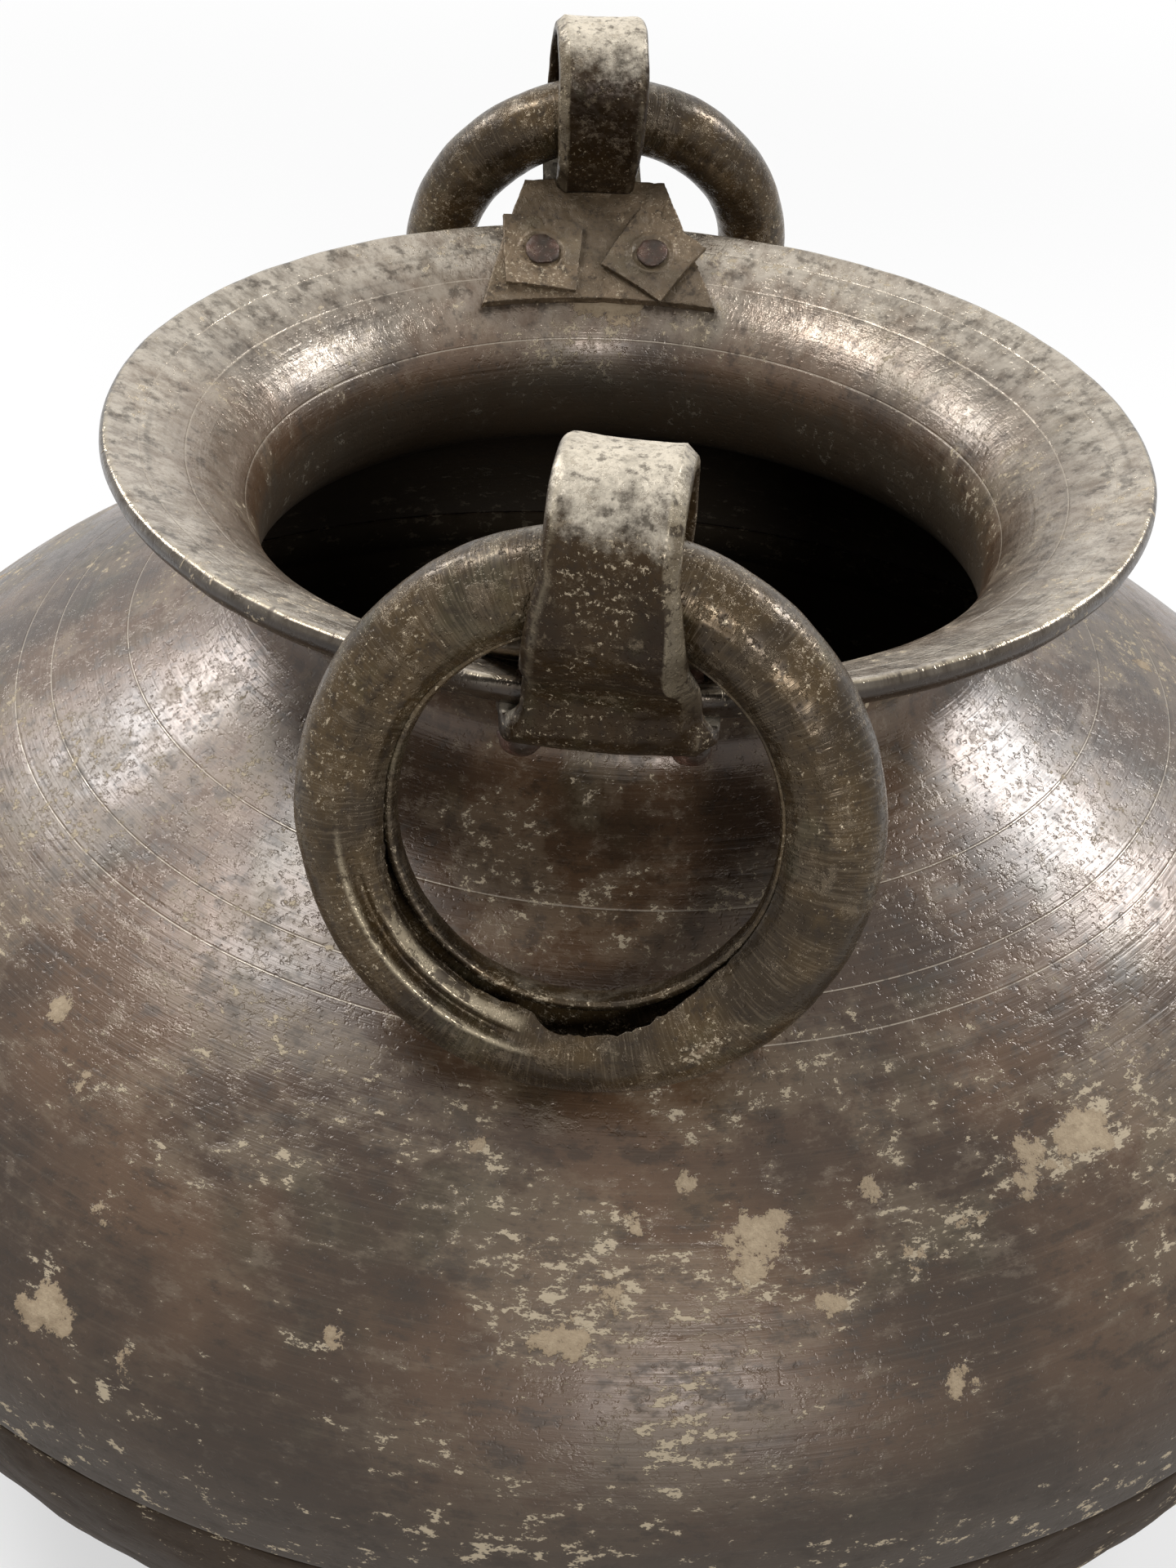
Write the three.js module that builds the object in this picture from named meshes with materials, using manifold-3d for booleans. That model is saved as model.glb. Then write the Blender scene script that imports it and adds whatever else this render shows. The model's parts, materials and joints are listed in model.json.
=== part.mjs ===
// Large squat brass pot with a flared rim and two ring handles, in millimetres, +Z up.
// The origin is the middle of the flat base. The front handle is at -Y.

import * as THREE from 'three';
import Module from 'manifold-3d';
import { mergeVertices } from 'three/addons/utils/BufferGeometryUtils.js';

// Body sizes
const bodyHeight = 385;       // base to the top of the lip
const wall = 4;               // thickness of the raised sheet
const rimRadius = 180;        // outer radius of the lip
const lipHeight = 11;         // height of the lip's outer face
const lipSlant = 4;           // how far that face leans in at its lower edge
const lipArris = 1;           // worn corner at the top of the lip
const flareRun = 22;          // how far the flare stays open before it turns down
const flareSlope = 22;        // slope of the flare at the lip, in degrees
const throatTurn = 30;        // how sharply the flare turns into the neck
const neckRadius = 132;       // outer radius of the neck
const neckDrop = 50;          // lip to the narrowest part of the neck
const neckTurn = 12;          // how sharply the neck turns out into the shoulder
const neckBase = 42;          // the same inside, where the metal is thicker
const shoulderRadius = 216;   // where the cone of the shoulder begins to round over
const shoulderDrop = 101;     // lip to that circle
const shoulderSlope = 26.6;   // slope of the shoulder's cone, in degrees
const coneRun = 70;           // length of the cone above that circle
const innerConeRun = 50;
const bellyRadius = 319;      // widest radius
const bellyRound = 50;        // how far the cone runs on into the belly
const bellyRise = 40;         // how tall the belly's side stands
const seamHeight = 166;       // base to the joint of shell and bowl
const lapHeight = 12;         // how far the bowl's edge goes up inside the shell
const seamBevel = 1;          // worn corners along the joint
const baseRadius = 110;       // flat part of the base
const bowlSide = 88;          // how far the bowl's side keeps upright
const bowlFloor = 105;        // how far the bowl's floor keeps level

// Handle sizes
const frontTurn = 0.5;          // place of the front handle round the rim, in degrees
const backTurn = 187.5;       // place of the back handle, a little off the opposite point
const frontTwist = -6;        // the front strap and ring stand slightly askew
const backTwist = 1;
const frontTilt = 1.4;        // the rings hang a little to one side, in degrees
const backTilt = 4.5;
const strapThickness = 7;
const strapWidth = 36;        // the bar above the rim
const strapBevel = 3.8;       // slope of the bar's edges towards its outer face
const frontWaist = 50;        // its outer leg beside the lip
const backWaist = 42;
const strapTip = 31;          // the end of its inner leg
const strapRise = 78.5;         // lip to the top of the arch
const footWidth = 66;         // the foot beaten out wide under the flare
const footLength = 34;        // how far the foot reaches in under the flare
const footThickness = 10.5;
const ringTube = 15;          // radius of the ring's tube
const ringRadius = 67;        // middle of the ring to the middle of its tube
const ringWall = 2.5;         // sheet that the ring is rolled from
const ringSeam = 1.6;         // open seam along the inside of the ring
const seamTurn = 25;          // the seam is turned towards the outer side, in degrees
const ringOut = 9.5;          // middle of the arch beyond the lip
const ringUp = 40;            // the tube's middle above the lip
const ringPlay = 2;            // room between the swinging ring and the strap's legs
const plateSlope = 36;        // slope of the plate inside the rim, in degrees
const plateThickness = 5;
const plateTopWidth = 59;
const plateLowWidth = 98;
const plateReach = 36;        // rivets to the plate's outer edge
const plateDepth = 20;        // rivets to the plate's inner edge
const roveSide = 32;
const roveThickness = 2.5;
const leftRoveSpin = -30;       // how the square roves are turned, in degrees
const rightRoveSpin = -10;
const rivetInset = 23.5;        // lip to the rivets
const rivetSpacing = 46;
const rivetRadius = 4;
const rivetHead = 7.5;        // radius of the rivets' heads
const rivetDome = 8;          // height of the heads under the foot
const rivetPeen = 2;          // height of the hammered ends inside
const shankClearance = 0.3;

const ringSeat = 2.7;         // the same where the strap carries the ring
const seatGap = 0.3;          // between pieces that lie on each other
const lipClearance = 2.5;     // between the strap and the lip

const rounds = 64;            // sides of the large turned pieces
const ringSides = 36;

const { degToRad: rad, lerp, smoothstep: smooth } = THREE.MathUtils;
const point = (x, y) => new THREE.Vector2(x, y);
const upAxis = new THREE.Vector3(0, 0, 1);
const along = (from, slope, length) => point(
  from.x + length * Math.cos(slope),
  from.y + length * Math.sin(slope),
);

// Outlines, as radius and height

const neckHeight = bodyHeight - neckDrop;
const seamTop = seamHeight + lapHeight;
const neckPoint = point(neckRadius, neckHeight);
const lipCorner = point(rimRadius - lipSlant, bodyHeight - lipHeight);
const shoulderPoint = point(shoulderRadius, bodyHeight - shoulderDrop);
const coneDown = -rad(shoulderSlope);

const bellyCurve = new THREE.CubicBezierCurve(
  point(bellyRadius, seamTop),
  point(bellyRadius, seamTop + bellyRise),
  along(shoulderPoint, coneDown, bellyRound),
  shoulderPoint,
);
const shoulderCurve = new THREE.CubicBezierCurve(
  shoulderPoint,
  along(shoulderPoint, coneDown, -coneRun),
  point(neckRadius, neckHeight - neckTurn),
  neckPoint,
);
const innerShoulderPoint = along(shoulderPoint, coneDown - Math.PI / 2, wall);
const innerShoulder = new THREE.CubicBezierCurve(
  innerShoulderPoint,
  along(innerShoulderPoint, coneDown, -innerConeRun),
  point(neckRadius - wall, neckHeight - neckBase),
  point(neckRadius - wall, neckHeight),
);
const underFlare = new THREE.CubicBezierCurve(
  neckPoint,
  point(neckRadius, neckHeight + neckTurn + wall / 2),
  point(lipCorner.x - flareRun - wall, lipCorner.y - wall / 2),
  lipCorner,
);
const flareEdge = point(rimRadius - lipArris, bodyHeight);
const flareTop = new THREE.CubicBezierCurve(
  flareEdge,
  along(flareEdge, rad(flareSlope), -flareRun),
  point(neckRadius - wall, neckHeight + throatTurn),
  point(neckRadius - wall, neckHeight),
);
const bowlCurve = new THREE.CubicBezierCurve(
  point(baseRadius, 0),
  point(baseRadius + bowlFloor, 0),
  point(bellyRadius, seamHeight - bowlSide),
  point(bellyRadius, seamHeight - seatGap),
);

// The same line moved to its left by a distance
function offsetLine(curve, distance, steps) {
  const moved = [];
  for (let i = 0; i <= steps; i += 1) {
    const p = curve.getPoint(i / steps);
    const t = curve.getTangent(i / steps);
    moved.push(point(p.x - t.y * distance, p.y + t.x * distance));
  }
  return moved;
}

function shellOutline() {
  const outside = [
    point(bellyRadius - seamBevel, seamHeight),
    point(bellyRadius, seamHeight + seamBevel),
    ...bellyCurve.getPoints(7),
    ...shoulderCurve.getPoints(7).slice(1),
    ...underFlare.getPoints(6).slice(1),
    point(rimRadius, bodyHeight - lipArris),
  ];
  const inside = [
    ...flareTop.getPoints(7),
    ...innerShoulder.getPoints(6).reverse().slice(1),
    ...offsetLine(bellyCurve, wall, 6).reverse().slice(1),
    point(bellyRadius - wall, seamHeight),
  ];
  return [...outside, ...inside, outside[0]];
}

function bowlOutline() {
  const lapRadius = bellyRadius - wall - seatGap;
  const inside = offsetLine(bowlCurve, wall, 7).reverse();
  return [
    point(0, 0),
    ...bowlCurve.getPoints(9).slice(0, -1),
    point(bellyRadius, seamHeight - seatGap - seamBevel),
    point(bellyRadius - seamBevel, seamHeight - seatGap),
    point(lapRadius, seamHeight - seatGap),
    point(lapRadius, seamTop - seatGap),
    point(lapRadius - wall, seamTop - seatGap),
    point(lapRadius - wall, seamHeight - wall),
    ...inside.slice(1),
    point(0, wall),
  ];
}

// Solids

const wasm = await Module();
wasm.setup();

function toSolid(geometry) {
  const bare = geometry.clone();
  bare.deleteAttribute('normal');
  bare.deleteAttribute('uv');
  const merged = mergeVertices(bare, 1e-4);
  return new wasm.Manifold(new wasm.Mesh({
    numProp: 3,
    vertProperties: new Float32Array(merged.attributes.position.array),
    triVerts: new Uint32Array(merged.index.array),
  }));
}

function fromSolid(solid) {
  const mesh = solid.getMesh();
  const geometry = new THREE.BufferGeometry();
  geometry.setAttribute('position', new THREE.BufferAttribute(mesh.vertProperties, 3));
  geometry.setIndex(new THREE.BufferAttribute(mesh.triVerts, 1));
  return geometry;
}

function cutAway(geometry, cutters) {
  const solid = cutters.reduce((left, cutter) => left.subtract(toSolid(cutter)), toSolid(geometry));
  return fromSolid(solid);
}

function turned(outline, sides) {
  return new THREE.LatheGeometry(outline, sides).rotateX(Math.PI / 2);
}

// A block whose corners run from 0 to 1 in u, v and w, each point then put in its place
function shapedBlock(counts, place) {
  const block = new THREE.BoxGeometry(1, 1, 1, ...counts).translate(0.5, 0.5, 0.5);
  const spots = block.attributes.position;
  for (let i = 0; i < spots.count; i += 1) {
    const p = place(spots.getX(i), spots.getY(i), spots.getZ(i));
    spots.setXYZ(i, p.x, p.y, p.z);
  }
  return block;
}

// A spot on the front handle: x round the rim, then its radius and height
function roundRim(x, reference, radius, height) {
  const angle = x / reference;
  return new THREE.Vector3(radius * Math.sin(angle), -radius * Math.cos(angle), height);
}

// The riveted stack. Its frame lies on the flare at the rivets: out along the slope, and up from it.

const slope = rad(plateSlope);
const rivetCircle = rimRadius - rivetInset;
const flareLine = flareTop.getPoints(60);
const stackSpot = flareLine.reduce((best, p) => (
  Math.abs(p.x - rivetCircle) < Math.abs(best.x - rivetCircle) ? p : best
));
const liftOf = (p) => (
  (p.y - stackSpot.y) * Math.cos(slope) - (p.x - stackSpot.x) * Math.sin(slope)
);
const outOf = (p) => (
  (p.x - stackSpot.x) * Math.cos(slope) + (p.y - stackSpot.y) * Math.sin(slope)
);
const plateUnder = Math.max(...flareLine.map(liftOf)) + seatGap;
const plateTop = plateUnder + plateThickness;
const roveUnder = plateTop + seatGap;
const roveTop = roveUnder + roveThickness;

function onStack(x, out, lift) {
  const radius = stackSpot.x + out * Math.cos(slope) - lift * Math.sin(slope);
  const height = stackSpot.y + out * Math.sin(slope) + lift * Math.cos(slope);
  return roundRim(x, stackSpot.x, radius, height);
}

function plateShape() {
  return shapedBlock([8, 4, 1], (u, v, w) => {
    const out = lerp(plateReach, -plateDepth, v);
    const radius = stackSpot.x + out * Math.cos(slope);
    const width = lerp(plateTopWidth, plateLowWidth, v) * stackSpot.x / radius;
    return onStack((u - 0.5) * width, out, plateUnder + w * plateThickness);
  });
}

function roveShape(x, spin) {
  const turn = rad(spin);
  return shapedBlock([4, 4, 1], (u, v, w) => {
    const across = (u - 0.5) * roveSide;
    const down = (v - 0.5) * roveSide;
    return onStack(
      x + across * Math.cos(turn) - down * Math.sin(turn),
      -across * Math.sin(turn) - down * Math.cos(turn),
      roveUnder + w * roveThickness,
    );
  });
}

// The strap's middle line, from the foot's inner end over the lip and the arch to the inner leg

const ringCircle = rimRadius + ringOut;
const halfBar = strapThickness / 2;
const bowOf = (width) => width ** 2 / 8 / ringRadius;
const archRadius = ringTube + bowOf((strapWidth + frontWaist) / 2) + ringPlay + halfBar;
const archHeight = bodyHeight + strapRise - halfBar - archRadius;
const hingeHeight = bodyHeight + ringUp;

function footLine() {
  const length = underFlare.getLength();
  const spots = [];
  for (let i = 0; i <= 4; i += 1) {
    const share = 1 - lerp(footLength, lipHeight / 2, i / 4) / length;
    const p = underFlare.getPointAt(share);
    const way = underFlare.getTangentAt(share);
    spots.push(point(p.x + way.y * (seatGap + halfBar), p.y - way.x * (seatGap + halfBar)));
  }
  return new THREE.SplineCurve(spots);
}

function strapLine(tilt, waist) {
  const foot = footLine();
  const footEnd = foot.getPoint(1);
  const besideLip = rimRadius + lipClearance + halfBar;
  const outerLeg = ringCircle + archRadius;
  const innerLeg = ringCircle - archRadius;
  const line = new THREE.CurvePath();
  line.add(foot);
  line.add(new THREE.CubicBezierCurve(
    footEnd,
    point(besideLip - halfBar, footEnd.y + 1.5),
    point(besideLip, bodyHeight - lipHeight + halfBar),
    point(besideLip, bodyHeight + 2),
  ));
  const aside = waist / 2 * Math.sin(rad(tilt));
  const seatRadius = ringTube + bowOf(waist) + aside + ringSeat + halfBar;
  const hug = (from, to) => new THREE.EllipseCurve(
    ringCircle, hingeHeight, archRadius, seatRadius, rad(from), rad(to),
  );
  const outerHug = hug(-50, 0);
  const innerHug = hug(180, 210);
  const outerWay = outerHug.getTangent(0);
  const innerWay = innerHug.getTangent(1);
  const seat = outerHug.getPoint(0);
  const turnDown = innerHug.getPoint(1);
  const bend = strapThickness;
  line.add(new THREE.CubicBezierCurve(
    point(besideLip, bodyHeight + 2),
    point(besideLip, bodyHeight + 2 + bend),
    seat.clone().addScaledVector(outerWay, -bend),
    seat,
  ));
  line.add(outerHug);
  line.add(new THREE.LineCurve(point(outerLeg, hingeHeight), point(outerLeg, archHeight)));
  line.add(new THREE.EllipseCurve(
    ringCircle, archHeight, archRadius, archRadius, 0, Math.PI, false, 0,
  ));
  line.add(new THREE.LineCurve(point(innerLeg, archHeight), point(innerLeg, hingeHeight)));
  line.add(innerHug);
  const end = onStack(0, plateReach - halfBar - 1, plateTop - 2);
  const endSpot = point(Math.hypot(end.x, end.y), end.z);
  const downWay = rad(90) + slope;
  line.add(new THREE.CubicBezierCurve(
    turnDown,
    turnDown.clone().addScaledVector(innerWay, bend / 2),
    along(endSpot, downWay, bend / 2),
    endSpot,
  ));
  return line;
}

// The room that the rim takes, seen from a handle
function rimRoom(turn) {
  const outline = [
    point(0, neckHeight),
    point(neckRadius + seatGap, neckHeight),
    ...offsetLine(underFlare, -seatGap, 6).slice(1),
    point(rimRadius + lipClearance, lipCorner.y),
    point(rimRadius + lipClearance, bodyHeight + seatGap),
    point(0, bodyHeight + seatGap),
  ];
  return turned(outline, rounds).rotateZ(-rad(turn));
}

function strapShape(turn, twist, tilt, waist) {
  const line = strapLine(tilt, waist);
  const steps = 40;
  const spots = line.getSpacedPoints(steps);
  const ways = spots.map((p, i) => {
    const before = spots[Math.max(i - 1, 0)];
    const after = spots[Math.min(i + 1, steps)];
    return after.clone().sub(before).normalize();
  });
  const top = spots.reduce((best, p, i) => (p.y > spots[best].y ? i : best), 0);
  const block = shapedBlock([2, steps, 2], (u, v, w) => {
    const i = Math.round(v * steps);
    const p = spots[i];
    const way = ways[i];
    const spread = smooth(bodyHeight - p.y, 0, lipHeight + strapThickness);
    const down = THREE.MathUtils.clamp((archHeight - p.y) / (archHeight - bodyHeight), 0, 1);
    const bar = i < top
      ? lerp(lerp(strapWidth, waist, down ** 0.7), footWidth, spread)
      : lerp(strapWidth, strapTip, down);
    const x = (u - 0.5) * (bar - (w > 0.6 ? 2 * strapBevel : 0));
    const thickness = lerp(strapThickness, footThickness, spread);
    const lift = w * thickness - halfBar;
    const radius = p.x + way.y * lift;
    const height = p.y - way.x * lift;
    const skew = smooth(height, lipCorner.y, bodyHeight + ringTube);
    const spot = roundRim(x, p.x, radius, height);
    spot.lerp(new THREE.Vector3(x, -radius, height), skew);
    spot.y += ringCircle;
    spot.applyAxisAngle(upAxis, rad(twist) * skew);
    spot.y -= ringCircle;
    return spot;
  });
  const trim = shapedBlock([4, 1, 1], (u, v, w) => onStack(
    (u - 0.5) * footWidth,
    plateReach + strapThickness - v * 4 * strapThickness,
    plateTop + seatGap - (1 - w) * plateThickness,
  ));
  return cutAway(block, [trim, rimRoom(turn), ...rivetHoles(0)]);
}

// Rivets, their holes and the roves' places

const rivetSpots = [-rivetSpacing / 2, rivetSpacing / 2];

function lowestFoot() {
  const foot = footLine();
  const reach = foot.getPoints(40).map((p, i) => {
    const way = foot.getTangent(i / 40);
    const lift = footThickness - halfBar;
    return point(p.x + way.y * lift, p.y - way.x * lift);
  });
  const near = reach.filter((p) => Math.abs(outOf(p)) < rivetHead + strapThickness);
  return Math.min(...near.map(liftOf));
}

const headCrown = rivetHead ** 2 / 2 / stackSpot.x;
const headUnder = lowestFoot() - seatGap - headCrown;
const headOver = roveTop + seatGap + headCrown;

function alongRivet(geometry, x) {
  return geometry
    .rotateX(-slope)
    .translate(0, -stackSpot.x, stackSpot.y)
    .rotateZ(x / stackSpot.x);
}

function rivetHoles(turn) {
  return rivetSpots.map((x) => {
    const length = headOver - headUnder + 8;
    const drill = new THREE.CylinderGeometry(
      rivetRadius + shankClearance, rivetRadius + shankClearance, length, 12,
    ).rotateX(Math.PI / 2).translate(0, 0, (headOver + headUnder) / 2);
    return alongRivet(drill, x).rotateZ(rad(turn));
  });
}

function rivetShape(x) {
  const dome = (from, height) => [0.35, 0.65, 0.88].map((share) => point(
    rivetHead * Math.sqrt(1 - share ** 2),
    from + height * share,
  ));
  const outline = [
    point(0, headUnder - rivetDome),
    ...dome(headUnder, -rivetDome).reverse(),
    point(rivetHead, headUnder),
    point(rivetRadius, headUnder),
    point(rivetRadius, headOver),
    point(rivetHead, headOver),
    ...dome(headOver, rivetPeen),
    point(0, headOver + rivetPeen),
  ];
  return alongRivet(turned(outline, 12), x);
}

// The ring is rolled from sheet, so its section is nearly a full circle round an open seam

function ringShape() {
  const middle = Math.PI + rad(seamTurn);
  const arc = (radius, count, way) => {
    const half = Math.PI - Math.asin(ringSeam / 2 / radius);
    const spots = [];
    for (let i = 0; i <= count; i += 1) {
      const angle = middle + Math.PI + way * half * (2 * i / count - 1);
      spots.push(point(ringRadius + radius * Math.cos(angle), radius * Math.sin(angle)));
    }
    return spots;
  };
  const outline = [...arc(ringTube, 14, 1), ...arc(ringTube - ringWall, 8, -1)];
  return new THREE.LatheGeometry([...outline, outline[0]], ringSides)
    .translate(0, 0, -ringRadius);
}

// How far the ring leans out of the upright where its lower side rests on the shoulder

const bodyLine = [
  ...bellyCurve.getPoints(40),
  ...shoulderCurve.getPoints(40),
  ...underFlare.getPoints(20),
];

function clearanceAt(lean, tilt, twist) {
  let least = Infinity;
  for (let i = 0; i < 48; i += 1) {
    const angle = (i / 48) * 2 * Math.PI;
    const spot = new THREE.Vector3(
      ringRadius * Math.sin(angle), 0, ringRadius * Math.cos(angle) - ringRadius,
    );
    spot.applyEuler(new THREE.Euler(-lean, rad(tilt), rad(twist), 'ZXY'));
    const out = Math.hypot(spot.x, spot.y - ringCircle);
    for (const p of bodyLine) {
      least = Math.min(least, Math.hypot(out - p.x, hingeHeight + spot.z - p.y) - ringTube);
    }
  }
  return least;
}

function restingLean(tilt, twist) {
  let low = 0;
  let high = rad(80);
  for (let i = 0; i < 24; i += 1) {
    const middle = (low + high) / 2;
    if (clearanceAt(middle, tilt, twist) < seatGap + 0.1) low = middle;
    else high = middle;
  }
  return high;
}

// Materials

const finish = (color, roughness, metalness) => new THREE.MeshStandardMaterial({
  color, roughness, metalness,
});
const shellFinish = finish(0x4a3a30, 0.45, 0.8);
const bowlFinish = finish(0x3a2f29, 0.55, 0.75);
const strapFinish = finish(0x453d35, 0.5, 0.75);
const plateFinish = finish(0x6b5a4a, 0.6, 0.6);
const rivetFinish = finish(0x7a4f40, 0.5, 0.7);
const ringFinish = finish(0x574c3b, 0.4, 0.8);

function named(name, geometry, material) {
  const mesh = new THREE.Mesh(geometry, material);
  mesh.name = name;
  return mesh;
}

function handle(side, turn, twist, tilt, waist) {
  const group = new THREE.Group();
  group.rotation.z = rad(turn);
  group.add(named(`${side}_strap`, strapShape(turn, twist, tilt, waist), strapFinish));
  group.add(named(`${side}_inner_plate`, cutAway(plateShape(), rivetHoles(0)), plateFinish));
  const spins = [leftRoveSpin, rightRoveSpin];
  ['left', 'right'].forEach((place, i) => {
    const x = rivetSpots[i];
    const rove = cutAway(roveShape(x, spins[i]), [rivetHoles(0)[i]]);
    group.add(named(`${side}_${place}_rove`, rove, plateFinish));
    group.add(named(`${side}_${place}_rivet`, rivetShape(x), rivetFinish));
  });
  const ring = named(`${side}_ring`, ringShape(), ringFinish);
  ring.rotation.set(-restingLean(tilt, twist), rad(tilt), rad(twist), 'ZXY');
  ring.position.set(0, -ringCircle, hingeHeight);
  group.add(ring);
  return group;
}

const pot = new THREE.Group();
const holes = [...rivetHoles(frontTurn), ...rivetHoles(backTurn)];
pot.add(named('upper_shell', cutAway(turned(shellOutline(), rounds), holes), shellFinish));
pot.add(named('lower_bowl', turned(bowlOutline(), rounds), bowlFinish));
pot.add(handle('front', frontTurn, frontTwist, frontTilt, frontWaist));
pot.add(handle('back', backTurn, backTwist, backTilt, backWaist));

export default pot;
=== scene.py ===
import json
import math

import bmesh
import bpy
import numpy as np
from mathutils import Matrix, Vector, noise
from mathutils.geometry import interpolate_bezier

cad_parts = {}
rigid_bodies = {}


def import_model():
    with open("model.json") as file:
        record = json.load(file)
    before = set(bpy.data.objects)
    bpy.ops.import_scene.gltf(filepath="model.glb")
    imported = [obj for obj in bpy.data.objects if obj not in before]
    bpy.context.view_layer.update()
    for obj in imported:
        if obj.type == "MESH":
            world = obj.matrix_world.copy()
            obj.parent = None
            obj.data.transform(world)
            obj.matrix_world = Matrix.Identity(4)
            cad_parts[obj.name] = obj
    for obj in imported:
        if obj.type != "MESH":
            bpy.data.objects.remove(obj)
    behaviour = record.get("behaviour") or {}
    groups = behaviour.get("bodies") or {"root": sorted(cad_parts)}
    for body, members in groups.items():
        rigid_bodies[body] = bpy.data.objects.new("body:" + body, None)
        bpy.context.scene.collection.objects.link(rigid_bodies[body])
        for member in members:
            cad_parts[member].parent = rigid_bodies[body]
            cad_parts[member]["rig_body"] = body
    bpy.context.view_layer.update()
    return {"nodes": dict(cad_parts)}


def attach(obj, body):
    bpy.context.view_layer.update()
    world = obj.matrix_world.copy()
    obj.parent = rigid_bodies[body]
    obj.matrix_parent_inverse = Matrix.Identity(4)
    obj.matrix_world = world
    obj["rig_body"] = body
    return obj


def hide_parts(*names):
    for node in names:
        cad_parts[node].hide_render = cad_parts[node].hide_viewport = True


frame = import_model()
mm = 0.001
origin = (0.0, 0.0, 0.0)


# Helpers for meshes. Outlines are pairs of radius and height in millimetres.

def limited(share):
    return min(1, max(0, share))


def between(a, b, share):
    return a + (b - a) * share


def smoothStep(value, low, high):
    share = limited((value - low) / (high - low))
    return share * share * (3 - 2 * share)


def bump(value, middle, reach):
    return np.exp(-((value - middle) / reach) ** 2)


def ramp(values, start, reach):
    return np.clip((values - start) / reach, 0, 1)


def onCircle(radius, angle, height):
    # the angle counts from the front handle's side
    return radius * math.sin(angle), -radius * math.cos(angle), height


def wayAlong(p, q):
    return Vector((q[0] - p[0], q[1] - p[1])).normalized()


def bezierLine(a, b, c, d, spacing):
    length = math.dist(a, b) + math.dist(b, c) + math.dist(c, d)
    steps = max(2, round(length / spacing))
    corners = [Vector((x, y, 0)) for x, y in (a, b, c, d)]
    return [(p.x, p.y) for p in interpolate_bezier(*corners, steps + 1)]


def offsetLine(line, distance):
    moved = []
    for i, p in enumerate(line):
        way = wayAlong(line[max(i - 1, 0)], line[min(i + 1, len(line) - 1)])
        moved.append((p[0] - way.y * distance, p[1] + way.x * distance))
    return moved


grooveBottoms = []


def scribe(line, radius, depth, halfWidth):
    # cuts a fine groove into an outline where it passes a radius
    for p, q in zip(line, line[1:]):
        if min(p[0], q[0]) < radius <= max(p[0], q[0]):
            length = math.dist(p, q)
            share = (radius - p[0]) / (q[0] - p[0])
            way = ((q[0] - p[0]) / length, (q[1] - p[1]) / length)
            middle = (p[0] + share * (q[0] - p[0]), p[1] + share * (q[1] - p[1]))
            before = line[:line.index(p) + 1]
            after = line[line.index(q):]
    groove = []
    for step in range(-3, 4):
        along = step * halfWidth
        down = 0 if step else depth
        groove.append((
            middle[0] + way[0] * along - way[1] * down,
            middle[1] + way[1] * along + way[0] * down,
        ))
    grooveBottoms.append(groove[3])
    clear = 4 * halfWidth
    before = [p for p in before if math.dist(p, middle) > clear]
    after = [p for p in after if math.dist(p, middle) > clear]
    return before + groove + after


def addObject(name, data):
    made = bpy.data.objects.new(name, data)
    bpy.context.scene.collection.objects.link(made)
    return made


def mark(mesh, name, values):
    # keeps a value from 0 to 2 for each point of a mesh, for its material to read
    kept = mesh.attributes.new(name, "FLOAT", "POINT")
    kept.data.foreach_set("value", np.clip(values, 0, 2).astype(np.float32))


def markByPlace(piece, name, howMuch):
    # marks each point by where it lies on the piece, in millimetres
    spots = np.zeros(len(piece.data.vertices) * 3)
    piece.data.vertices.foreach_get("co", spots)
    mark(piece.data, name, howMuch(spots.reshape(-1, 3) / mm))
    return piece


def makeObject(name, points, faces, material, placed=Matrix(), scribed=None):
    mesh = bpy.data.meshes.new(name)
    mesh.from_pydata([tuple(p) for p in points], [], faces)
    mesh.materials.append(material)
    if scribed:
        mark(mesh, "scribed", scribed)
    bm = bmesh.new()
    bm.from_mesh(mesh)
    bmesh.ops.remove_doubles(bm, verts=bm.verts, dist=1e-6)
    bmesh.ops.recalc_face_normals(bm, faces=bm.faces)
    bm.to_mesh(mesh)
    bm.free()
    mesh.shade_smooth()
    made = addObject(name, mesh)
    made.matrix_world = placed
    return made


def grid(rows, columns, closedRows):
    faces = []
    for i in range(rows if closedRows else rows - 1):
        for j in range(columns):
            k = (i + 1) % rows
            m = (j + 1) % columns
            faces.append((i * columns + j, i * columns + m, k * columns + m, k * columns + j))
    return faces


def turnedPiece(name, outline, sides, material, shift, closed=True):
    points = []
    scribed = []
    for r, z in outline:
        for j in range(sides):
            p = Vector(onCircle(r, 2 * math.pi * j / sides, z)) * mm
            points.append(p + shift(p))
            scribed.append((r, z) in grooveBottoms)
    return makeObject(name, points, grid(len(outline), sides, closed), material, scribed=scribed)


def standIn(piece, node):
    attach(piece, frame["nodes"][node]["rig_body"])
    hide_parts(node)


# Helpers for shader nodes. New nodes go into the tree that was started last.

def paint(red, green, blue):
    # a colour as a screen shows it, from 0 to 255
    return tuple(((c / 255 + 0.055) / 1.055) ** 2.4 for c in (red, green, blue))


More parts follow.
